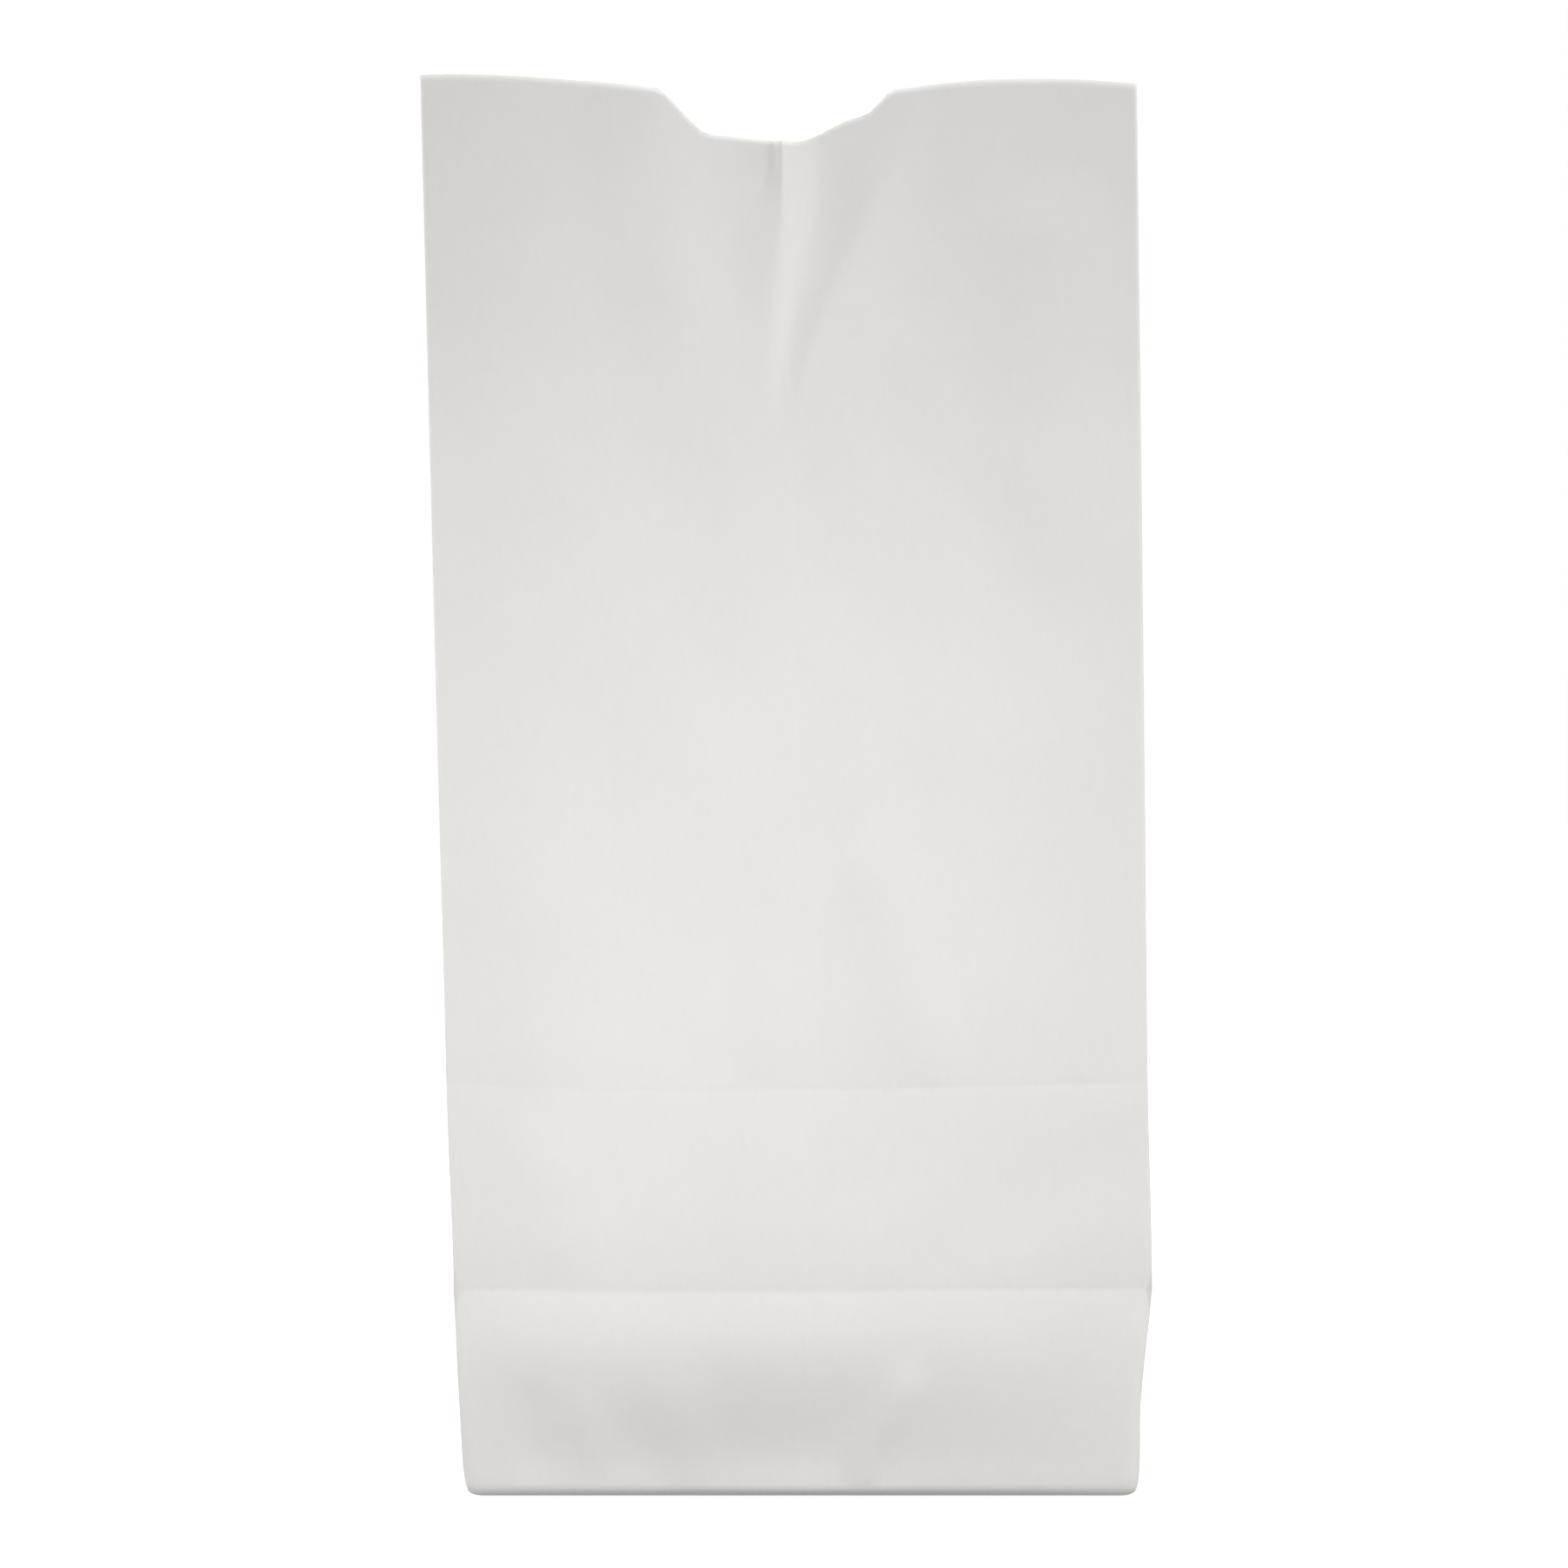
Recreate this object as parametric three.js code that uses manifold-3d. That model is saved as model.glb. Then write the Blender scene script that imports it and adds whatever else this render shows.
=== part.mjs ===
// Opened paper grocery bag with a flat folded base, standing on its own.
// One web of white kraft paper is lapped and glued into a tube with a gusset down each side. One end is
// folded across and glued for the base, and the other is cut off for the mouth, with a finger notch in front.
// Millimetres, +Z up. The front, with the seam and the notch, faces -Y, and +X is to its right.
// The origin is on the ground, under the middle of the room that the bag takes up.

import * as THREE from "three";
import { mergeVertices } from "three/addons/utils/BufferGeometryUtils.js";
import Module from "manifold-3d";

const { clamp, lerp, smoothstep } = THREE.MathUtils;
const wasm = await Module();
wasm.setup();

// The paper tube
const bagWidth = 197; // across a face, between corner folds
const bagDepth = 122; // across a side, between corner folds
const bagHeight = 398.5; // from the base folds to the cut mouth
const paper = 0.3; // one ply, glue and crinkle included
const seamLap = 19; // width of the glued lap down the front
const seamEdge = 1; // where the outer ply of the lap ends, from the middle of the front

// The folded base
const baseDrawIn = 4; // the base is folded this much shallower than the tube
const shoulderHeight = 78; // where the tube has come out to its full depth
const leftTaper = 0.8; // how far each side draws in towards the base, and between which heights
const leftTaperTop = 60;
const rightTaper = 2.4;
const rightTaperTop = 66;
const rightTaperFoot = 22;
const baseRound = 5; // the base folds and their corners are blunt
const foldRound = 1; // the corner folds above are crisp
const flapOverlap = 22; // how far the two base flaps lie over each other

// The gussets
const apexTuck = 4; // how far the gusset is pushed in where its creases meet, above the base
const mouthTuck = 21; // and at the mouth, where the fold springs back most
const mouthLean = 7.4; // the mouth stands this far to the left of the base

// The finger notch, measured from its middle and from the cut edge
const notchLeft = 32.4; // where it starts on its left and on its right
const notchRight = 31;
const notchSlopeRun = 10.4; // the left side slopes a little more steeply than 45 degrees
const notchSlopeDepth = 11.3;
const notchDepth = 14.6;
const notchLowX = 6; // its lowest point lies a little to the right
const notchShoulderX = 17; // the right side is bent up in a shoulder
const notchShoulderDepth = 8.2;

// Creases, swells and hollows of the front face, each a distance out of or into the face
const valleyDepth = 1.5; // the fold across the front at half the bag's depth
const valleyReach = 22;
const flapMarkDepth = 0.55; // the mark that the folded base pressed into the front
const flapMarkReach = 11;
const flapMarkShort = 2; // the folded base reached this much less than the bag's depth
const footSwell = 7; // the front swells out above the base, most a little right of its middle
const footTop = 50;
const footMiddle = 20;
const frontSwell = 2; // and a little more above the fold across it
const swellHeight = 200;
const mouthHollow = 12; // but it is pushed in at the mouth, from here up
const hollowFoot = 180;
const ridgeHeight = 2.3; // the seam stands up in a ridge below the notch
const ridgeX = 2;
const ridgeLength = 105;
const ridgeLeftReach = 4; // steep on its left
const ridgeRightReach = 15;
const pleatDepth = 2.2; // with a hollow that runs up to its right
const pleatReach = 12;
const pleatSpread = 20;
const wingHeight = 2.4; // and a soft fold that spreads from it to the notch's left end
const wingReach = 18;
const wingSpread = 40;
const backSwell = 4;

// The cut edge of the mouth
const mouthDip = 3.2; // the front edge sinks towards the notch
const leftDipStart = 84; // from these distances from the middle
const rightDipStart = 60;
const rightCornerDrop = 2.4; // and it sinks again to the right corner
const rightDropStart = 70;
const mouthBand = 70; // how far down the tube that reaches

const flapRoom = 2.5 * paper; // the two base flaps lie under the sheet
const baseDepth = bagDepth - baseDrawIn;
const halfWidth = bagWidth / 2;
const halfDepth = bagDepth / 2;
const foldHeight = halfDepth; // the gusset creases meet at half the bag's depth
const flapMarkHeight = bagDepth - flapMarkShort;

// Places along a line: each stretch between two stops is divided evenly
function ladder(stops, counts) {
  const places = [stops[0]];
  counts.forEach((count, i) => {
    for (let k = 1; k <= count; k++) places.push(lerp(stops[i], stops[i + 1], k / count));
  });
  return places;
}

// The hollow beside a fold in paper, sharp on its line, from 1 there to 0 at its reach
const crease = (distance, reach) => Math.max(0, 1 - Math.abs(distance) / reach) ** 2;

// A soft rise, 1 on its line and 0 from its reach onwards
const soft = (distance, reach) => smoothstep(1 - Math.abs(distance) / reach, 0, 1);

// How far a point of the front face stands out of the flat face
function frontRelief(x, z) {
  const across = 1 - (x / halfWidth) ** 2;
  const fromBulge = (x - footMiddle) / (x < footMiddle ? halfWidth + footMiddle : halfWidth - footMiddle);
  const alongRidge = smoothstep(z, bagHeight - ridgeLength, bagHeight);
  const fromRidge = x < ridgeX ? (ridgeX - x) / ridgeLeftReach : (x - ridgeX) / ridgeRightReach;
  const pleatX = ridgeX + pleatSpread * alongRidge;
  const wingX = ridgeX - wingSpread * alongRidge;
  return (
    footSwell * smoothstep(z, 0, footTop) * (1 - fromBulge ** 2) +
    frontSwell * smoothstep(z, foldHeight, swellHeight) * across -
    mouthHollow * smoothstep(z, hollowFoot, bagHeight) * across -
    valleyDepth * crease(z - foldHeight, valleyReach) -
    flapMarkDepth * crease(z - flapMarkHeight, flapMarkReach) +
    ridgeHeight * alongRidge * Math.max(0, 1 - fromRidge) -
    pleatDepth * alongRidge * soft(x - pleatX, pleatReach) +
    wingHeight * alongRidge * soft(x - wingX, wingReach)
  );
}

// How far a point of the back face stands out of the flat face
function backRelief(x, z) {
  const across = 1 - (x / halfWidth) ** 2;
  return backSwell * across * Math.sin((Math.PI * z) / bagHeight);
}

// How far a gusset is folded in, at a distance from its nearer corner fold.
// Below the fold height the two diagonal creases part three flat triangles; above it the gusset is a plain V.
function gussetTuck(fromCorner, z) {
  if (z <= foldHeight) return (apexTuck * Math.min(fromCorner, z)) / foldHeight;
  const rise = (z - foldHeight) / (bagHeight - foldHeight);
  return lerp(apexTuck, mouthTuck, rise) * (fromCorner / halfDepth);
}

// The tube gets shallower as its gussets fold in, because the paper keeps its length
function depthLeft(z) {
  const tuck = gussetTuck(halfDepth, z);
  return Math.sqrt(halfDepth ** 2 - tuck ** 2) / halfDepth;
}

// How far the cut edge of the front lies below its left corner
function mouthDrop(x) {
  const fromLeft = smoothstep(x, -leftDipStart, -notchLeft / 2);
  const fromRight = 1 - smoothstep(x, notchRight, rightDipStart);
  return mouthDip * Math.min(fromLeft, fromRight) + rightCornerDrop * smoothstep(x, rightDropStart, halfWidth);
}

// Moves a point of a sharp-edged box onto the same box with round edges
function roundEdges(point, halfX, halfY, radius) {
  const core = new THREE.Vector3(
    clamp(point.x, radius - halfX, halfX - radius),
    clamp(point.y, radius - halfY, halfY - radius),
    Math.max(point.z, radius),
  );
  return point.clone().sub(core).setLength(radius).add(core);
}

// The middle of the paper at a place on the plain folded box: x and y on its plan, z up its side
function sheetPoint(x, y, z) {
  const out = smoothstep(z, 0, shoulderHeight);
  const taper =
    x < 0
      ? leftTaper * (1 - smoothstep(z, 0, leftTaperTop))
      : rightTaper * (1 - smoothstep(z, rightTaperFoot, rightTaperTop));
  const sizeX = halfWidth - taper;
  const sizeY = (lerp(baseDepth, bagDepth, out) / 2) * depthLeft(z);
  const place = new THREE.Vector3((x / halfWidth) * sizeX, (y / halfDepth) * sizeY, z);
  const point = roundEdges(place, sizeX, sizeY, lerp(baseRound, foldRound, out));
  if (z > 0) {
    const side = Math.sign(x) * (Math.abs(x) === halfWidth);
    point.x -= side * gussetTuck(halfDepth - Math.abs(y), z);
    if (y === -halfDepth) point.y -= frontRelief(x, z);
    if (y === halfDepth) point.y += backRelief(x, z);
  }
  const nearEdge = clamp((z - bagHeight) / mouthBand + 1, 0, 1) ** 2;
  const towardsFront = clamp(-y / halfDepth, 0, 1);
  point.z -= mouthDrop(x) * nearEdge * towardsFront;
  point.x += mouthLean * (0.5 - z / bagHeight);
  point.z += flapRoom;
  return point;
}

// Stations of the sheet. The first ones up the side match those across half a gusset, so that its
// diagonal creases run from corner to corner of the facets.
const toFold = ladder(
  [0, baseRound / 3, baseRound, foldHeight - valleyReach / 3, foldHeight],
  [1, 1, 4, 1],
);
const facing = ladder(
  [
    -halfWidth, baseRound - halfWidth, seamEdge - seamLap - 1, seamEdge - seamLap,
    ridgeX - ridgeLeftReach, seamEdge, seamEdge + paper, ridgeX, ridgeX + ridgeRightReach,
    halfWidth - baseRound, halfWidth,
  ],
  [2, 5, 1, 3, 1, 1, 1, 2, 6, 2],
);
const gusset = [...toFold, ...toFold.slice(0, -1).reverse().map((s) => bagDepth - s)].map(
  (s) => s - halfDepth,
);
const rising = [
  ...toFold.slice(0, -1),
  ...ladder(
    [
      foldHeight, foldHeight + valleyReach / 3, flapMarkHeight - flapMarkReach, flapMarkHeight,
      flapMarkHeight + flapMarkReach, bagHeight,
    ],
    [1, 2, 1, 1, 13],
  ),
];

// The sheet's middle surface as points and triangles, with the ring round the mouth as its only edge
function foldSheet() {
  const ring = [
    ...facing.slice(0, -1).map((x, i) => ({ x, y: -halfDepth, first: i < facing.length / 2 })),
    ...gusset.slice(0, -1).map((y) => ({ x: halfWidth, y, first: y < 0 })),
    ...facing.slice(1).reverse().map((x, i) => ({ x, y: halfDepth, first: i < facing.length / 2 })),
    ...gusset.slice(1).reverse().map((y) => ({ x: -halfWidth, y, first: y > 0 })),
  ];
  const points = [];
  const triangles = [];
  rising.forEach((z) => ring.forEach(({ x, y }) => points.push(sheetPoint(x, y, z))));
  const at = (column, row) => row * ring.length + (column % ring.length);
  for (let row = 0; row < rising.length - 1; row++)
    ring.forEach(({ first }, column) => {
      const [a, b] = [at(column, row), at(column + 1, row)];
      const [c, d] = [at(column + 1, row + 1), at(column, row + 1)];
      triangles.push(...(first ? [[a, b, c], [a, c, d]] : [[a, b, d], [b, c, d]]));
    });

  // The base closes the bottom ring, with its outer side down
  const [across, along] = [facing.length - 1, gusset.length - 1];
  const inner = points.length;
  for (let j = 1; j < along; j++)
    for (let i = 1; i < across; i++) points.push(sheetPoint(facing[i], gusset[j], 0));
  const under = (i, j) => {
    if (j === 0) return i;
    if (i === across) return across + j;
    if (j === along) return across + along + (across - i);
    if (i === 0) return (2 * across + along + (along - j)) % ring.length;
    return inner + (j - 1) * (across - 1) + (i - 1);
  };
  for (let j = 0; j < along; j++)
    for (let i = 0; i < across; i++) {
      const [a, b, c, d] = [under(i, j), under(i + 1, j), under(i + 1, j + 1), under(i, j + 1)];
      triangles.push([a, c, b], [a, d, c]);
    }
  const plies = points.map((_, i) => {
    const { x, y } = ring[i % ring.length];
    const lapped = y < 0 && x >= seamEdge - seamLap && x <= seamEdge;
    return i < inner && lapped ? 2 : 1;
  });
  return { points, triangles, plies, ringLength: ring.length, rimStart: at(0, rising.length - 1) };
}

// The way out of the paper at each point, long enough to keep its thickness round a fold
function outwards({ points, triangles }) {
  const sums = points.map(() => new THREE.Vector3());
  const touching = points.map(() => []);
  triangles.forEach((corners) => {
    const [a, b, c] = corners.map((i) => points[i]);
    const normal = new THREE.Triangle(a, b, c).getNormal(new THREE.Vector3());
    corners.forEach((i) => {
      sums[i].add(normal);
      touching[i].push(normal);
    });
  });
  return sums.map((sum, i) => {
    const way = sum.normalize();
    const share = touching[i].reduce((total, normal) => total + normal.dot(way), 0) / touching[i].length;
    return way.divideScalar(share);
  });
}

// The sheet with its thickness: an outer skin, an inner skin and the cut edge round the mouth
function thicken(sheet) {
  const { points, triangles, plies, ringLength, rimStart } = sheet;
  const ways = outwards(sheet);
  const skin = (side) =>
    points.map((p, i) => p.clone().addScaledVector(ways[i], side(plies[i]) * paper));
  const outer = skin((count) => count - 0.5);
  const inner = skin(() => -0.5);
  const index = [
    ...triangles.flat(),
    ...triangles.flatMap(([a, b, c]) => [a, c, b].map((i) => i + points.length)),
  ];
  for (let k = 0; k < ringLength; k++) {
    const [a, b] = [rimStart + k, rimStart + ((k + 1) % ringLength)];
    const [c, d] = [b + points.length, a + points.length];
    index.push(a, b, c, a, c, d);
  }
  return new THREE.BufferGeometry().setFromPoints([...outer, ...inner]).setIndex(index);
}

// A three.js geometry as a manifold-3d solid, and back
function toSolid(geometry) {
  const plain = geometry.clone();
  plain.deleteAttribute("normal");
  plain.deleteAttribute("uv");
  const merged = mergeVertices(plain, 1e-4);
  return new wasm.Manifold(
    new wasm.Mesh({
      numProp: 3,
      vertProperties: merged.attributes.position.array,
      triVerts: new Uint32Array(merged.index.array),
    }),
  );
}

function toGeometry(solid) {
  const { vertProperties, triVerts } = solid.getMesh();
  const geometry = new THREE.BufferGeometry();
  geometry.setAttribute("position", new THREE.BufferAttribute(vertProperties, 3));
  geometry.setIndex(new THREE.BufferAttribute(triVerts, 1));
  geometry.computeVertexNormals();
  return geometry;
}

// What is cut out of the front face for a finger, standing up past the edge
function notchCutter() {
  const bottomX = notchSlopeRun - notchLeft;
  const shape = new THREE.Shape();
  shape.moveTo(-notchLeft, bagHeight);
  shape.lineTo(-notchLeft, 0);
  shape.lineTo(bottomX, -notchSlopeDepth);
  shape.quadraticCurveTo(bottomX + 2.5, 1 - notchDepth, bottomX + 7, 1.6 - notchDepth);
  shape.lineTo(notchLowX, -notchDepth);
  shape.lineTo(notchShoulderX, -notchShoulderDepth);
  shape.quadraticCurveTo(lerp(notchShoulderX, notchRight, 0.7), -notchShoulderDepth * 0.9, notchRight, 0);
  shape.lineTo(notchRight, bagHeight);
  const reach = halfDepth;
  const cutter = new THREE.ExtrudeGeometry(shape, { depth: reach * 1.2, bevelEnabled: false, curveSegments: 6 });
  cutter.rotateX(Math.PI / 2);
  cutter.translate(-mouthLean / 2, -reach / 2, bagHeight + flapRoom - mouthDip);
  return cutter;
}

// One base flap: it hinges on a long base fold and narrows at 45 degrees, as folded paper does
function baseFlap(towards, bottom) {
  const halfX = halfWidth - (leftTaper + rightTaper) / 2 - baseRound;
  const halfY = baseDepth / 2 - baseRound;
  const reach = halfY + flapOverlap / 2;
  const shape = new THREE.Shape();
  shape.moveTo(-halfX, towards * halfY);
  shape.lineTo(halfX, towards * halfY);
  shape.lineTo(halfX - reach, towards * (halfY - reach));
  shape.lineTo(reach - halfX, towards * (halfY - reach));
  const flap = new THREE.ExtrudeGeometry(shape, { depth: flapRoom - bottom, bevelEnabled: false });
  return flap.translate((mouthLean + leftTaper - rightTaper) / 2, 0, bottom);
}

function paperBag() {
  const bag = toSolid(thicken(foldSheet()))
    .subtract(toSolid(notchCutter()))
    .add(toSolid(baseFlap(-1, paper)))
    .add(toSolid(baseFlap(1, 0)));
  const material = new THREE.MeshStandardMaterial({ color: 0xe9e7e2, roughness: 0.85, metalness: 0 });
  const mesh = new THREE.Mesh(toGeometry(bag), material);
  mesh.name = "paper_bag";
  const room = new THREE.Box3().setFromObject(mesh);
  const middle = room.getCenter(new THREE.Vector3());
  mesh.position.set(-middle.x, -middle.y, -room.min.z);
  return mesh;
}

const bag = new THREE.Group();
bag.add(paperBag());

export default bag;
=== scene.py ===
import math

import bpy
import numpy as np
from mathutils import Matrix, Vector, noise


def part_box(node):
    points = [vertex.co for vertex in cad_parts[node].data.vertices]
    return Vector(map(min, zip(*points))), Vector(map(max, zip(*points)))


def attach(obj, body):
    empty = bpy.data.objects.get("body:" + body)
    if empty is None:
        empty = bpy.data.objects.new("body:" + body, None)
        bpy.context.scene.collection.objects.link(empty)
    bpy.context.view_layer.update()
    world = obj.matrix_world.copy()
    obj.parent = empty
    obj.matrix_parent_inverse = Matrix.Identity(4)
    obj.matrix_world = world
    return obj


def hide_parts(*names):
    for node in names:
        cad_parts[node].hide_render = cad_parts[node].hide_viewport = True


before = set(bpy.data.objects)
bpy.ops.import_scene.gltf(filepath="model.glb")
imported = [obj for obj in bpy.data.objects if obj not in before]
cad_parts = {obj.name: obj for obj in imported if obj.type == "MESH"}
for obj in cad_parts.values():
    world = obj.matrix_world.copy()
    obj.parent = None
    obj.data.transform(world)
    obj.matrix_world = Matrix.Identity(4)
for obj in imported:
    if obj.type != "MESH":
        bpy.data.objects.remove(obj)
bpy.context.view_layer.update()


# The bag's web: one sheet of bleached kraft paper, lapped and glued into a tube with a gusset down
# each side, squared off at the base folds and cut at the mouth with a finger notch. It is one sheet
# from edge to edge, so it is one mesh with an outer skin, an inner skin and the cut edge of the mouth.
mm = 0.001
ply = 0.2 * mm
room_low, room_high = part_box("paper_bag")

bag_width = 197 * mm
bag_depth = 122 * mm
bag_height = 398.5 * mm
sheet_lift = 0.75 * mm  # the two base flaps lie under the sheet

base_depth = 118 * mm
shoulder_height = 78 * mm
left_taper = 0.8 * mm  # the left side draws in slowly towards the base
left_taper_top = 60 * mm
right_taper = 2.4 * mm  # and the right one in a short step
right_taper_top = 66 * mm
right_taper_foot = 22 * mm
base_round = 5 * mm
fold_round = 1 * mm
mouth_lean = 7.4 * mm  # how far the mouth stands to the left of the base
sway = 0.6 * mm  # the bag bows a little to the right above the fold across its front
sway_height = 68 * mm

apex_tuck = 4 * mm  # how far the gussets are folded in at the fold, and at the mouth
mouth_tuck = 21 * mm

half_width = bag_width / 2
half_depth = bag_depth / 2
fold_height = half_depth
mark_height = bag_depth - 2 * mm  # the folded base reached a little less than the bag's depth


def ladder(stops, counts):
    """Places along a line, each stretch between two stops divided evenly."""
    places = [stops[0]]
    for start, end, count in zip(stops, stops[1:], counts):
        places += [start + (end - start) * k / count for k in range(1, count + 1)]
    return np.array(places)


def lerp(a, b, t):
    """The value a share t of the way from a to b."""
    return a + (b - a) * t


def ease(value, start=0.0, end=1.0):
    """A smooth rise from 0 at start to 1 at end."""
    t = np.clip((value - start) / (end - start), 0, 1)
    return t * t * (3 - 2 * t)


def crease(distance, reach):
    """The hollow beside a fold in paper: sharp on its line, fading out at its reach."""
    return np.clip(1 - np.abs(distance) / reach, 0, None) ** 2


def swell(distance, reach):
    """A soft hump, 1 on its line and 0 from its reach onwards."""
    return ease(1 - np.abs(distance) / reach)


def bent(start, control, end, steps=8):
    """Points along one curved stretch of a cut edge, from start to end."""
    t = np.linspace(0, 1, steps + 1)[:, None]
    a, b, c = np.array(start), np.array(control), np.array(end)
    return (1 - t) ** 2 * a + 2 * t * (1 - t) * b + t**2 * c


def cut_line(*stretches):
    """A function of the place along an edge, from points and curved stretches in millimetres."""
    line = mm * np.vstack(stretches)
    return lambda x: np.interp(x, line[:, 0], line[:, 1])


# how far the cut edge of the front lies below its left corner, then how far the notch lies below that
mouth_drop = cut_line(
    [(-98.5, 0)],
    bent((-88, 0.2), (-64, 1.0), (-34, 4.6)),
    bent((34, 3.3), (50, 0.8), (64, 0.8)),
    bent((80, 0.9), (90, 1.5), (98.5, 2.4)),
)
notch_drop = cut_line(
    [(-32.4, 0)],
    bent((-22, 11.3), (-19.5, 12.8), (-15, 12.8)),
    bent((-1, 14.4), (5, 15.0), (9, 12.9)),
    bent((14.5, 10.2), (19, 7.8), (23, 7.2)),
    bent((25, 6.4), (27, 4.6), (31, 0)),
)


def soft_fold(x, z, places, reach, height, left=1.0):
    """A low rounded ridge along places on the front, in millimetres, fading to a share of its height."""
    relief = np.zeros_like(x)
    for k, (start, end) in enumerate(zip(places, places[1:])):
        a, b = mm * np.array(start), mm * np.array(end)
        along = b - a
        t = np.clip(((x - a[0]) * along[0] + (z - a[1]) * along[1]) / (along @ along), 0, 1)
        away = np.hypot(x - a[0] - t * along[0], z - a[1] - t * along[1])
        strength = lerp(1, left, (k + t) / (len(places) - 1))
        relief = np.maximum(relief, strength * swell(away, reach * mm))
    return height * mm * relief


# the soft folds of the front: places, reach, height and, where one fades, its share of height at the end
front_folds = [
    # two wings spread from the seam up past the ends of the notch
    (((-35, 396), (-33, 350), (-18, 306), (-5, 250)), 24, 2.7, 0.2),
    (((74, 352), (76, 280)), 28, 2.0),
    (((44, 396), (34, 340)), 18, -0.8),
    (((32, 300), (60, 276)), 16, -0.6),
    # an arch stands at the middle of the front, with a swell on either side
    (((-8, 134), (0, 176)), 13, 1.0),
    (((36, 132), (24, 180)), 15, 1.1),
    (((-66, 136), (-64, 168)), 22, 1.1),
    # between the two creases
    (((-70, 98), (-69, 78)), 18, 1.1),
    (((84, 100), (40, 72)), 18, -0.7),
    # the foot is dented by handling
    (((-62, 26), (-60, 14)), 9, 0.9),
    (((-36, 30), (-33, 14)), 14, 0.9),
    (((17, 12), (29, 34)), 9, 1.8),
    (((-78, 30), (-77, 12)), 8, -0.8),
]

# how far the broad forms of the front and back stand out, and how deep the front's creases are pressed in
foot_bulge = 11.8 * mm
foot_middle = -28 * mm  # where the bulge above the foot stands out most
foot_lip = 0.9 * mm  # the front of the base stands out again a little
belly_bulge = 2 * mm
mouth_hollow = 13 * mm
fold_lift = 2.2 * mm  # the bulge lifts the fold across the front
fold_depth = 1.5 * mm
fold_groove = 0.15 * mm
mark_depth = 0.5 * mm
mark_groove = 0.22 * mm
back_bow = 4 * mm

ridge_x = 0.4 * mm
ridge_height = 2.3 * mm

# the hollow to the right of the seam's ridge, from its foot up to the mouth, in millimetres:
# height, place of its bottom, width of its far side, depth
ridge_hollow = mm * np.array(
    [
        (299, -1.5, 3.5, 0),
        (312, -0.2, 4.2, 0.7),
        (322, 1.2, 5.8, 1.6),
        (335, 3.3, 8.5, 2.8),
        (344, 5.2, 10.8, 3.6),
        (352, 7.2, 12.8, 3.9),
        (362, 9.2, 15.3, 3.7),
        (378, 11, 20, 3.2),
        (399, 12.5, 25, 2.5),
    ]
)


def foot_share(x):
    """How much of the bulge above the foot is there: 1 at its middle, 0 at the corner folds."""
    on_left = x < foot_middle
    to_side = np.where(on_left, half_width + foot_middle, half_width - foot_middle)
    fullness = np.where(on_left, 2.6, 1.65)
    return 1 - np.clip(np.abs(x - foot_middle) / to_side, 0, 1) ** fullness


def seam_ridge(x, z):
    """The ridge in which the seam stands up below the notch, steep on its left."""
    near_mouth = ease(z, bag_height - 105 * mm, bag_height - 50 * mm)
    near_notch = ease(z, bag_height - 60 * mm, bag_height - 25 * mm)
    left_reach = lerp(14 * mm, 2.2 * mm, ease(z, bag_height - 46 * mm, bag_height - 22 * mm))
    left_flank = np.clip(1 + (x - ridge_x) / left_reach, 0, 1)
    crest = np.clip(1 - (x - ridge_x) / (3 * mm), 0, 1)
    right_flank = np.clip(1 - (x - ridge_x) / (12 * mm), 0, 1) ** 1.5
    right_flank = lerp(right_flank, crest, 0.45 * near_notch)
    height = ridge_height * near_mouth * lerp(0.7, 1, near_notch)
    return height * np.where(x < ridge_x, left_flank, right_flank)


def beside_ridge(x, z):
    """The depth of the hollow to the right of the ridge, short on its near side and long on its far side."""
    heights, bottoms, far_sides, depths = ridge_hollow.T
    bottom = np.interp(z, heights, bottoms)
    far_side = np.interp(z, heights, far_sides)
    depth = np.interp(z, heights, depths)
    near_side = 5.5 * mm + 0.55 * bottom
    away = x - bottom
    rise = np.clip(away / far_side, 0, 1) ** 1.7
    return depth * np.where(away < 0, swell(away, near_side), 1 - rise)


def front_relief(x, z):
    """How far the front stands out of the plane between its two corner folds."""
    across = 1 - (x / half_width) ** 2
    foot = foot_bulge * ease(z, 7 * mm, 52 * mm) * foot_share(x)
    foot += foot_lip * across * (1 - ease(z, 2 * mm, 12 * mm))
    belly = belly_bulge * ease(z, fold_height, 200 * mm)
    hollow = mouth_hollow * ease(z, 180 * mm, bag_height * 1.05)
    relief = foot + across * (belly - hollow)

    # each crease is a wide dip with a fine groove on its line, and the mark is crisper on the right
    relief -= fold_depth * crease(z - fold_height, 22 * mm)
    relief -= fold_groove * crease(z - fold_height, 3 * mm)
    crisp = ease(x, -20 * mm, 20 * mm) * ease(half_width - x, 4 * mm, 20 * mm)
    relief -= mark_depth * lerp(0.7, 1, crisp) * crease(z - mark_height, 12 * mm)
    relief -= mark_groove * lerp(0.2, 1, crisp) * crease(z - mark_height, 2.5 * mm)

    for fold in front_folds:
        relief += soft_fold(x, z, *fold)
    relief += seam_ridge(x, z)
    relief -= beside_ridge(x, z)
    return relief


def back_relief(x, z):
    """How far the back stands out of its plane: one even, shallow bow."""
    across = 1 - (x / half_width) ** 2
    return back_bow * across * np.sin(math.pi * z / bag_height)


def gusset_tuck(from_corner, z):
    """How far a gusset is folded in: three flat triangles below the fold height, a plain V above it."""
    rise = (z - fold_height) / (bag_height - fold_height)
    below = apex_tuck * np.minimum(from_corner, z) / fold_height
    above = lerp(apex_tuck, mouth_tuck, rise) * from_corner / half_depth
    return np.where(z <= fold_height, below, above)


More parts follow.
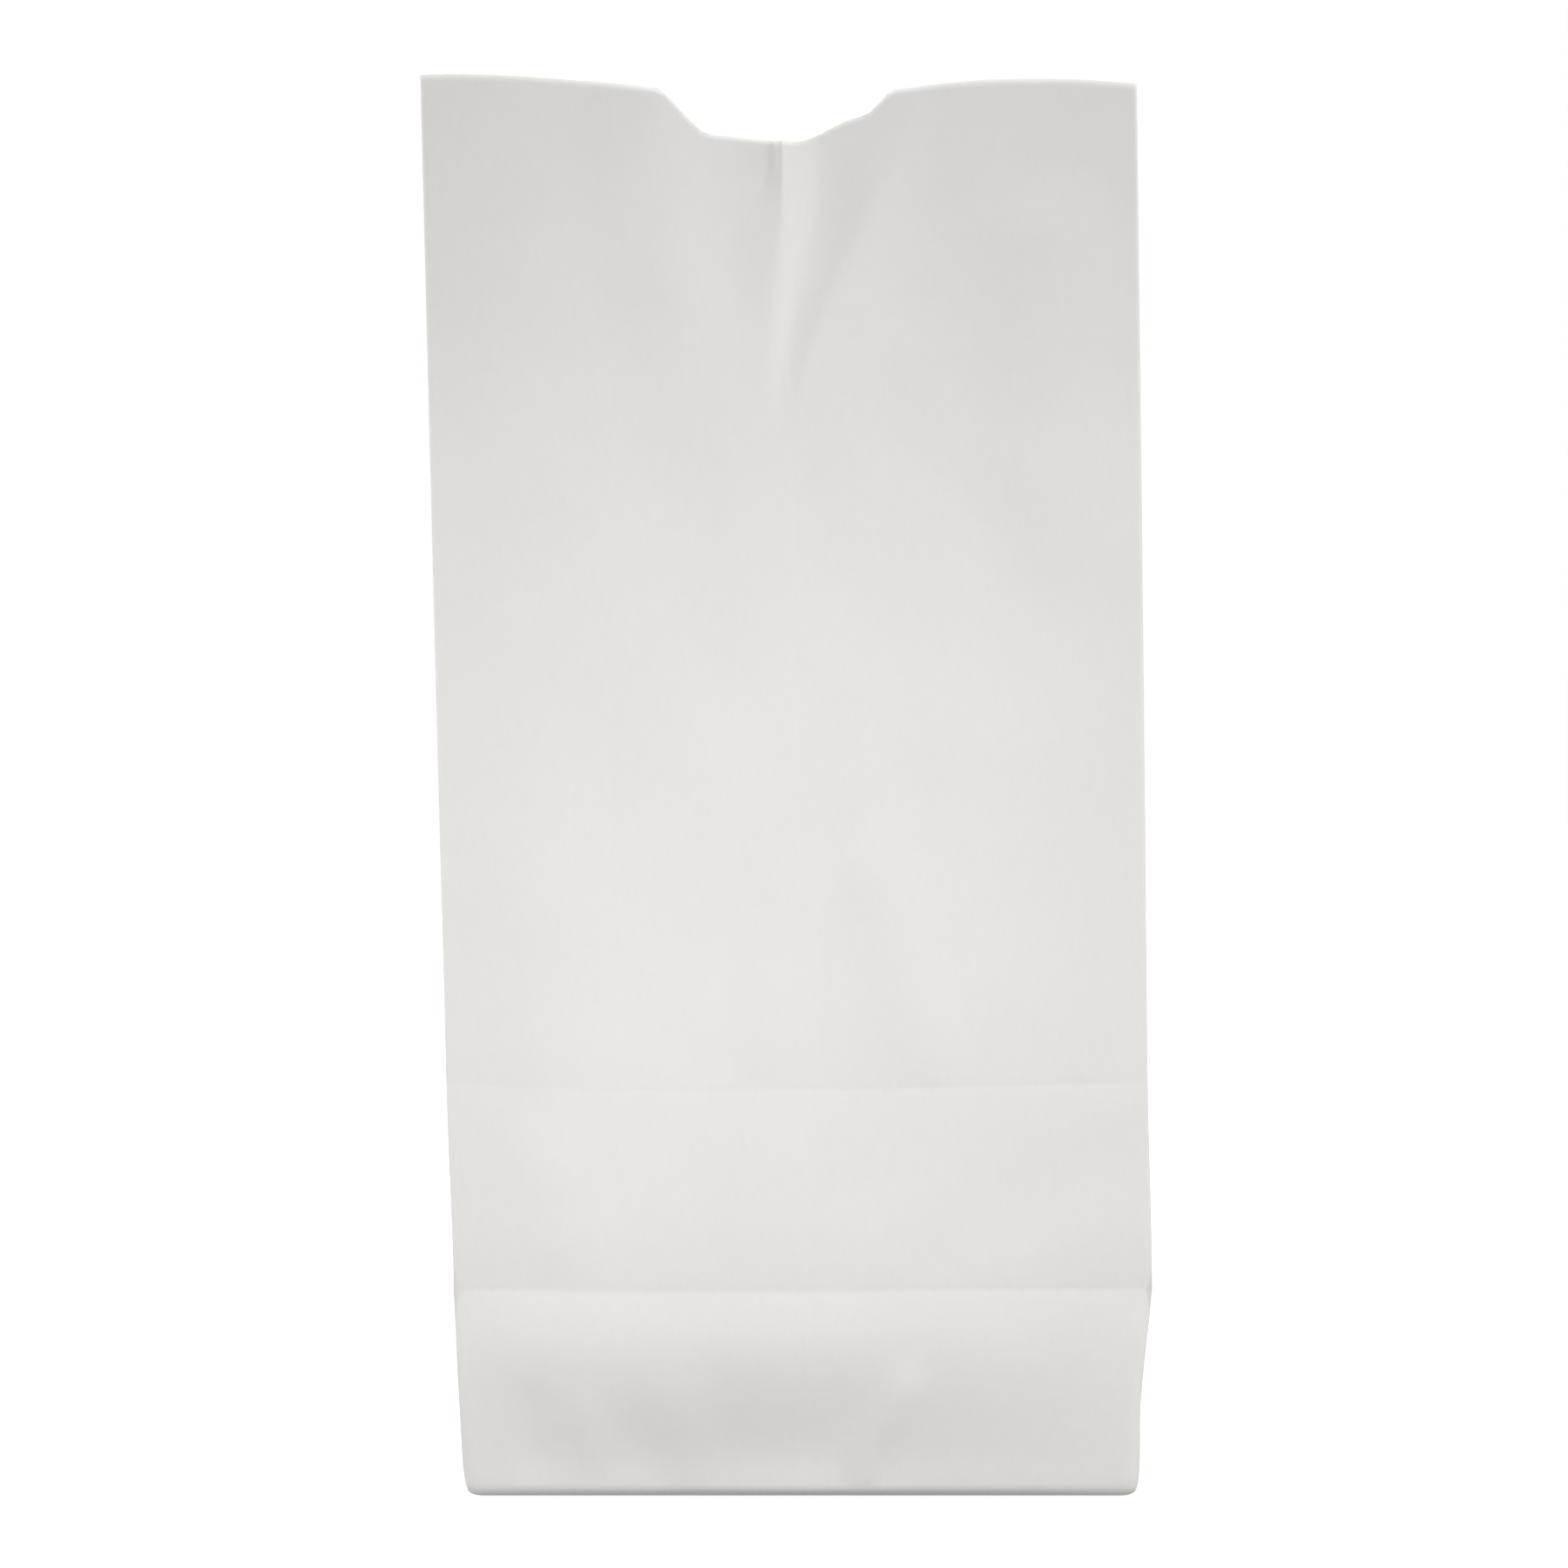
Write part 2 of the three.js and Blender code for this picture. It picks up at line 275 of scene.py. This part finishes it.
def gusset_creases(y, z):
    """The pressed lines in a gusset: up its middle, on both diagonals, and across its front half."""
    from_corner = half_depth - np.abs(y)
    below = 1 - ease(z, fold_height - 1 * mm, fold_height + 4 * mm)
    diagonal = crease((from_corner - z) / math.sqrt(2), 6 * mm) * below
    middle = crease(y, 5 * mm) * below * ease(z, 0, 8 * mm)
    across = crease(z - fold_height, 12 * mm) * ease(-y, 0, 6 * mm) * ease(from_corner, 0, 8 * mm)
    return 0.6 * mm * diagonal - 0.5 * mm * middle + 0.6 * mm * across


def cockle(x, y, z):
    """The slight unevenness of handled paper, at two scales, the same on every run."""
    def waves(scale, height):
        places = np.stack([x.ravel(), y.ravel(), z.ravel() * 0.7], axis=1) * scale
        values = np.array([noise.noise(Vector(place)) for place in places.tolist()])
        return height * mm * values.reshape(x.shape)

    return waves(24, 0.55) + waves(60, 0.16)


def round_edges(point, half_x, half_y, radius):
    """Moves points of a sharp-edged box onto the same box with round edges."""
    core = np.stack(
        [
            np.clip(point[..., 0], radius - half_x, half_x - radius),
            np.clip(point[..., 1], radius - half_y, half_y - radius),
            np.maximum(point[..., 2], radius),
        ],
        axis=-1,
    )
    away = point - core
    length = np.linalg.norm(away, axis=-1, keepdims=True)
    return core + away / length * radius[..., None]


def sheet_point(x, y, z):
    """The middle of the paper at a place on the plain folded box: x and y on its plan, z up its side."""
    on_front = (y <= -half_depth) & (z > 0)
    on_back = (y >= half_depth) & (z > 0)
    on_side = (np.abs(x) >= half_width) & (z > 0)

    mouth_band = 70 * mm
    near_edge = np.clip((z - bag_height + mouth_band) / mouth_band, 0, 1)
    z = z - np.where(on_front, notch_drop(x), 0) * near_edge

    out = ease(z, 0, shoulder_height)
    tuck_at_middle = gusset_tuck(half_depth, z)
    depth_left = np.sqrt(half_depth**2 - tuck_at_middle**2) / half_depth
    left_size = half_width - left_taper * (1 - ease(z, 0, left_taper_top))
    right_size = half_width - right_taper * (1 - ease(z, right_taper_foot, right_taper_top))
    size_x = np.where(x < 0, left_size, right_size)
    size_y = lerp(base_depth, bag_depth, out) / 2 * depth_left
    place = np.stack([x / half_width * size_x, y / half_depth * size_y, z], axis=-1)
    point = round_edges(place, size_x, size_y, lerp(base_round, fold_round, out))

    flat = (1 - (x / half_width) ** 4) * ease(z, 0, 12 * mm)
    uneven = cockle(x, y, z)
    flat_side = 1 - (y / half_depth) ** 4
    sunk = gusset_tuck(half_depth - np.abs(y), z) + gusset_creases(y, z) - uneven * flat_side
    point[..., 0] -= np.sign(x) * on_side * sunk
    point[..., 1] -= on_front * (front_relief(x, z) * ease(z, 0, 4 * mm) + uneven * flat)
    point[..., 1] += on_back * (back_relief(x, z) + uneven * flat)

    point[..., 2] += on_front * fold_lift * foot_share(x) * swell(z - fold_height, 40 * mm)
    towards_front = np.clip(-y / half_depth, 0, 1)
    point[..., 2] += sheet_lift - mouth_drop(x) * near_edge**2 * towards_front
    point[..., 0] += mouth_lean * (0.5 - z / bag_height) + sway * swell(z - sway_height, 50 * mm)
    return point


# the places of the sheet's points, closer together where it is folded or lapped
seam_edge = 1 * mm
seam_lap = 19 * mm
seam_step = 0.4 * mm
lap_rise = 0.04 * mm  # the lapped strip stands out by very little
corner_stops = [0, base_round / 2, base_round]
facing = ladder(
    [
        -half_width, base_round - half_width, seam_edge - seam_lap - 1 * mm, seam_edge - seam_lap,
        seam_edge - 8 * mm, seam_edge - 3 * mm, seam_edge, seam_edge + seam_step, seam_edge + 3 * mm,
        seam_edge + 10 * mm, half_width - base_round, half_width,
    ],
    [5, 31, 1, 6, 4, 5, 1, 4, 6, 35, 5],
)
to_fold = ladder([*corner_stops, fold_height - 8 * mm, fold_height - 2 * mm, fold_height], [2, 2, 12, 4, 3])
gusset = np.concatenate([to_fold, bag_depth - to_fold[-2::-1]]) - half_depth
rising = np.concatenate(
    [
        to_fold[:-1],
        ladder(
            [
                fold_height, fold_height + 2 * mm, fold_height + 8 * mm, mark_height - 6 * mm, mark_height,
                mark_height + 6 * mm, bag_height - 92 * mm, bag_height,
            ],
            [3, 4, 12, 10, 10, 38, 43],
        ),
    ]
)

ring_x = np.concatenate(
    [facing[:-1], np.full(len(gusset) - 1, half_width), facing[:0:-1], np.full(len(gusset) - 1, -half_width)]
)
ring_y = np.concatenate(
    [np.full(len(facing) - 1, -half_depth), gusset[:-1], np.full(len(facing) - 1, half_depth), gusset[:0:-1]]
)
grid_z, grid_x = np.meshgrid(rising, ring_x, indexing="ij")
grid_y = np.broadcast_to(ring_y, grid_x.shape)
tube = sheet_point(grid_x, grid_y, grid_z)
base_x, base_y = np.meshgrid(facing[1:-1], gusset[1:-1])
base = sheet_point(base_x, base_y, np.zeros_like(base_x))
web_points = np.concatenate([tube.reshape(-1, 3), base.reshape(-1, 3)])


def web_faces():
    """The four-cornered faces of the tube, then of the base that closes its bottom ring."""
    columns = len(ring_x)
    column = np.arange(columns)
    beside = (column + 1) % columns
    rows = np.arange(len(rising) - 1)[:, None] * columns
    above = rows + columns
    walls = np.stack([rows + column, rows + beside, above + beside, above + column], axis=-1)

    across, along = len(facing) - 1, len(gusset) - 1
    under = np.empty((along + 1, across + 1), int)
    under[1:-1, 1:-1] = tube.shape[0] * columns + np.arange((along - 1) * (across - 1)).reshape(along - 1, -1)
    under[0, :] = np.arange(across + 1)
    under[:, -1] = across + np.arange(along + 1)
    under[-1, ::-1] = across + along + np.arange(across + 1)
    under[::-1, 0] = (2 * across + along + np.arange(along + 1)) % columns
    squares = np.stack([under[:-1, :-1], under[1:, :-1], under[1:, 1:], under[:-1, 1:]], axis=-1)
    return np.concatenate([walls.reshape(-1, 4), squares.reshape(-1, 4)])


def outwards(points, faces):
    """The way out of the paper at each point, long enough to keep its thickness round a fold."""
    a, b, c, d = (points[faces[:, k]] for k in range(4))
    normals = np.cross(c - a, d - b)
    normals /= np.linalg.norm(normals, axis=1, keepdims=True)
    total = np.zeros_like(points)
    for k in range(4):
        np.add.at(total, faces[:, k], normals)
    way = total / np.linalg.norm(total, axis=1, keepdims=True)
    share = np.zeros(len(points))
    touching = np.zeros(len(points))
    for k in range(4):
        np.add.at(share, faces[:, k], (normals * way[faces[:, k]]).sum(axis=1))
        np.add.at(touching, faces[:, k], 1)
    return way / (share / touching)[:, None]


faces = web_faces()
way = outwards(web_points, faces)
lapped = (ring_y <= -half_depth) & (ring_x >= seam_edge - seam_lap) & (ring_x <= seam_edge)
outer_offset = np.full(len(web_points), ply / 2)
outer_offset[: tube.shape[0] * tube.shape[1]] += lap_rise * np.tile(lapped, tube.shape[0])
outer_skin = web_points + way * outer_offset[:, None]
inner_skin = web_points - way * (ply / 2)
rim = (tube.shape[0] - 1) * len(ring_x) + np.arange(len(ring_x))
rim_beside = np.roll(rim, -1)
count = len(web_points)
skin_points = np.concatenate([outer_skin, inner_skin])
skin_faces = np.concatenate(
    [faces, faces[:, ::-1] + count, np.stack([rim, rim_beside, rim_beside + count, rim + count], axis=-1)]
)

# the sheet stands where the solid does: centred over its box, on its base
middle = (skin_points.max(axis=0) + skin_points.min(axis=0)) / 2
shift = np.array(
    [(room_low.x + room_high.x) / 2 - middle[0], (room_low.y + room_high.y) / 2 - middle[1], room_low.z]
)
skin_points += shift


def paper_piece(name, points, faces):
    """A mesh object of paper, smooth over its faces."""
    mesh = bpy.data.meshes.new(name)
    mesh.from_pydata(points.tolist(), [], faces.tolist())
    mesh.polygons.foreach_set("use_smooth", np.ones(len(mesh.polygons), bool))
    mesh.update()
    piece = bpy.data.objects.new(name, mesh)
    bpy.context.scene.collection.objects.link(piece)
    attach(piece, "root")
    return piece


bag_web = paper_piece("bag_web", skin_points, skin_faces)
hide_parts("paper_bag")


def bleached_kraft():
    """White kraft paper: a warm white with faint clouds and fibres, dull, with a slight tooth."""
    material = bpy.data.materials.new("bleached_kraft")
    material.use_nodes = True
    nodes, links = material.node_tree.nodes, material.node_tree.links
    shader = nodes["Principled BSDF"]
    shader.inputs["Roughness"].default_value = 0.72
    shader.inputs["Specular IOR Level"].default_value = 0.3
    where = nodes.new("ShaderNodeTexCoord").outputs["Object"]

    def speckle(scale, detail, stretch=(1, 1, 1)):
        mapping = nodes.new("ShaderNodeMapping")
        mapping.inputs["Scale"].default_value = stretch
        links.new(where, mapping.inputs["Vector"])
        texture = nodes.new("ShaderNodeTexNoise")
        texture.inputs["Scale"].default_value = scale
        texture.inputs["Detail"].default_value = detail
        links.new(mapping.outputs["Vector"], texture.inputs["Vector"])
        return texture.outputs["Fac"]

    clouds = nodes.new("ShaderNodeValToRGB")
    clouds.color_ramp.elements[0].position = 0.35
    clouds.color_ramp.elements[0].color = (0.795, 0.785, 0.758, 1)
    clouds.color_ramp.elements[1].position = 0.65
    clouds.color_ramp.elements[1].color = (0.825, 0.808, 0.777, 1)
    links.new(speckle(14, 3), clouds.inputs["Fac"])

    fibres = nodes.new("ShaderNodeMix")
    fibres.data_type = "RGBA"
    fibres.blend_type = "MULTIPLY"
    flecks = nodes.new("ShaderNodeValToRGB")
    flecks.color_ramp.elements[0].position = 0.3
    flecks.color_ramp.elements[0].color = (0.975, 0.972, 0.966, 1)
    flecks.color_ramp.elements[1].position = 0.6
    flecks.color_ramp.elements[1].color = (1, 1, 1, 1)
    links.new(speckle(650, 4, (1, 1, 0.35)), flecks.inputs["Fac"])
    fibres.inputs["Factor"].default_value = 0.5
    links.new(clouds.outputs["Color"], fibres.inputs["A"])
    links.new(flecks.outputs["Color"], fibres.inputs["B"])
    links.new(fibres.outputs["Result"], shader.inputs["Base Color"])

    tooth = nodes.new("ShaderNodeBump")
    tooth.inputs["Strength"].default_value = 0.15
    tooth.inputs["Distance"].default_value = 0.05 * mm
    links.new(speckle(1100, 5, (1, 1, 0.5)), tooth.inputs["Height"])
    links.new(tooth.outputs["Normal"], shader.inputs["Normal"])
    return material


kraft = bleached_kraft()
bag_web.data.materials.append(kraft)


# The base flaps: the two ends of the web that were folded over each other and glued to close the base.
# Each hinges on a long base fold and narrows at 45 degrees, and the back one is the outer of the two.
flap_overlap = 22 * mm
flap_ply = 0.25 * mm
flap_wrinkle = 0.08 * mm
flap_step = 0.3 * mm  # how far the front flap lies above the back one
flap_middle = shift[0] + (mouth_lean + left_taper - right_taper) / 2


def flap_mesh(towards, lowest):
    """One flap as a thin slab: rows from its base fold to its cut end, each a little shorter."""
    half_x = half_width - (left_taper + right_taper) / 2 - base_round
    half_y = base_depth / 2 - base_round
    reach = half_y + flap_overlap / 2
    rows, columns = 40, 80
    t, s = np.meshgrid(np.linspace(0, 1, rows + 1), np.linspace(-1, 1, columns + 1), indexing="ij")
    x = s * (half_x - t * reach)
    y = towards * (half_y - t * reach)
    ripple = np.sin(x / mm * 0.35 + 2 * np.sin(y / mm * 0.11))
    wrinkle = 0.5 * (1 + ripple) * swell(s, 1.0) * swell(t - 0.5, 0.5)
    under = room_low.z + lowest + flap_wrinkle * wrinkle
    bottom = np.stack([x + flap_middle, y + shift[1], under], axis=-1).reshape(-1, 3)
    top = bottom + np.array([0, 0, flap_ply])
    grid = np.arange(len(bottom)).reshape(rows + 1, columns + 1)
    quads = np.stack([grid[:-1, :-1], grid[1:, :-1], grid[1:, 1:], grid[:-1, 1:]], axis=-1).reshape(-1, 4)
    edge = np.concatenate([grid[0, :-1], grid[:-1, -1], grid[-1, :0:-1], grid[:0:-1, 0]])
    beside = np.roll(edge, -1)
    rim_faces = np.stack([edge, edge + len(bottom), beside + len(bottom), beside], axis=-1)
    faces = np.concatenate([quads, quads[:, ::-1] + len(bottom), rim_faces])
    if towards > 0:
        faces = faces[:, ::-1]
    return np.concatenate([bottom, top]), faces


front_flap = paper_piece("front_base_flap", *flap_mesh(-1, flap_step))
back_flap = paper_piece("back_base_flap", *flap_mesh(1, 0))
for flap in (front_flap, back_flap):
    flap.data.materials.append(kraft)


# The floor: a plain pale sheet, wide enough to fill the view. To the camera it is nearly white, and
# only the bag's own shadow shows on it.
floor_mesh = bpy.data.meshes.new("floor")
floor_reach = 12
floor_top = -0.1 * mm
floor_sides = [(-1, -1), (1, -1), (1, 1), (-1, 1)]
floor_corners = [(floor_reach * x, floor_reach * y, floor_top) for x, y in floor_sides]
floor_mesh.from_pydata(floor_corners, [], [(0, 1, 2, 3)])
floor = bpy.data.objects.new("floor", floor_mesh)
bpy.context.scene.collection.objects.link(floor)


def pale_floor():
    """A dull grey that takes the shadow, and a glow that only the camera and reflections see."""
    material = bpy.data.materials.new("pale_floor")
    material.use_nodes = True
    nodes, links = material.node_tree.nodes, material.node_tree.links
    shader = nodes["Principled BSDF"]
    shader.inputs["Base Color"].default_value = (0.35, 0.35, 0.35, 1)
    shader.inputs["Roughness"].default_value = 0.9
    shader.inputs["Specular IOR Level"].default_value = 0
    glow = nodes.new("ShaderNodeEmission")
    both = nodes.new("ShaderNodeAddShader")
    links.new(shader.outputs["BSDF"], both.inputs[0])
    links.new(glow.outputs["Emission"], both.inputs[1])
    path = nodes.new("ShaderNodeLightPath")
    seen = nodes.new("ShaderNodeMath")
    seen.operation = "MAXIMUM"
    links.new(path.outputs["Is Camera Ray"], seen.inputs[0])
    links.new(path.outputs["Is Glossy Ray"], seen.inputs[1])
    glowing = nodes.new("ShaderNodeMath")
    glowing.operation = "MULTIPLY"
    links.new(seen.outputs["Value"], glowing.inputs[0])
    glowing.inputs[1].default_value = 0.88
    links.new(glowing.outputs["Value"], glow.inputs["Strength"])
    links.new(both.outputs["Shader"], nodes["Material Output"].inputs["Surface"])
    return material


floor_mesh.materials.append(pale_floor())


# The light: an even white room, a soft lamp low in front, and a smaller key lamp at the upper right,
# whose light grazes the front and brings out its folds. Wide lamps light the sides, back and mouth.
world = bpy.data.worlds.new("white_room")
world.use_nodes = True
bpy.context.scene.world = world
world_nodes, world_links = world.node_tree.nodes, world.node_tree.links
room_light = world_nodes["Background"]
room_light.inputs["Color"].default_value = (1, 1, 1, 1)
room_light.inputs["Strength"].default_value = 0.35
backdrop = world_nodes.new("ShaderNodeBackground")
backdrop.inputs["Color"].default_value = (1, 1, 1, 1)
backdrop.inputs["Strength"].default_value = 1
ray = world_nodes.new("ShaderNodeLightPath")
seen_ray = world_nodes.new("ShaderNodeMath")
seen_ray.operation = "MAXIMUM"
world_links.new(ray.outputs["Is Camera Ray"], seen_ray.inputs[0])
world_links.new(ray.outputs["Is Glossy Ray"], seen_ray.inputs[1])
choose = world_nodes.new("ShaderNodeMixShader")
world_links.new(seen_ray.outputs["Value"], choose.inputs["Fac"])
world_links.new(room_light.outputs["Background"], choose.inputs[1])
world_links.new(backdrop.outputs["Background"], choose.inputs[2])
world_links.new(choose.outputs["Shader"], world_nodes["World Output"].inputs["Surface"])


def soft_lamp(name, place, target, size, power):
    """A rectangular lamp at a place, turned to its target and hidden from the camera."""
    light = bpy.data.lights.new(name, "AREA")
    light.shape = "RECTANGLE"
    light.size, light.size_y = size
    light.energy = power
    lamp = bpy.data.objects.new(name, light)
    lamp.location = place
    lamp.rotation_euler = (Vector(target) - Vector(place)).to_track_quat("-Z", "Y").to_euler()
    lamp.visible_camera = False
    bpy.context.scene.collection.objects.link(lamp)


bag_middle = (0, 0, 0.2)
soft_lamp("front_lamp", (-0.1, -0.56, 0.15), (-0.03, 0, 0.15), (0.5, 0.15), 1.44)
soft_lamp("key_lamp", (1.15, -0.6, 0.65), bag_middle, (0.35, 0.35), 4.1)
soft_lamp("left_lamp", (-1.2, 0.1, 0.7), bag_middle, (0.9, 0.9), 6.5)
soft_lamp("right_lamp", (1.2, 0.1, 0.7), bag_middle, (0.9, 0.9), 5)
soft_lamp("mouth_lamp", (0, 0.1, 1.4), (0, 0, 0), (0.5, 0.5), 9)
soft_lamp("back_lamp", (0, 1.3, 0.7), bag_middle, (0.9, 0.9), 9)


# The camera: as in the photograph, close to the front, above its middle but below the mouth, and
# tipped down a little.
camera_away = 680 * mm  # from the front face
camera_aside = -2 * mm
camera_height = 248 * mm
camera_tip = math.radians(3.63)
photo_size = 1800
pixels_per_mm = 4.17  # at the front face
film_width = 36
camera_data = bpy.data.cameras.new("camera")
camera_data.sensor_fit = "HORIZONTAL"
camera_data.sensor_width = film_width
camera_data.lens = film_width * pixels_per_mm * (camera_away / mm) / photo_size
camera = bpy.data.objects.new("camera", camera_data)
camera.location = (camera_aside, -half_depth - camera_away, camera_height)
camera.rotation_euler = (math.pi / 2 - camera_tip, 0, 0)
bpy.context.scene.collection.objects.link(camera)
bpy.context.scene.camera = camera

bpy.context.scene.view_settings.view_transform = "Standard"
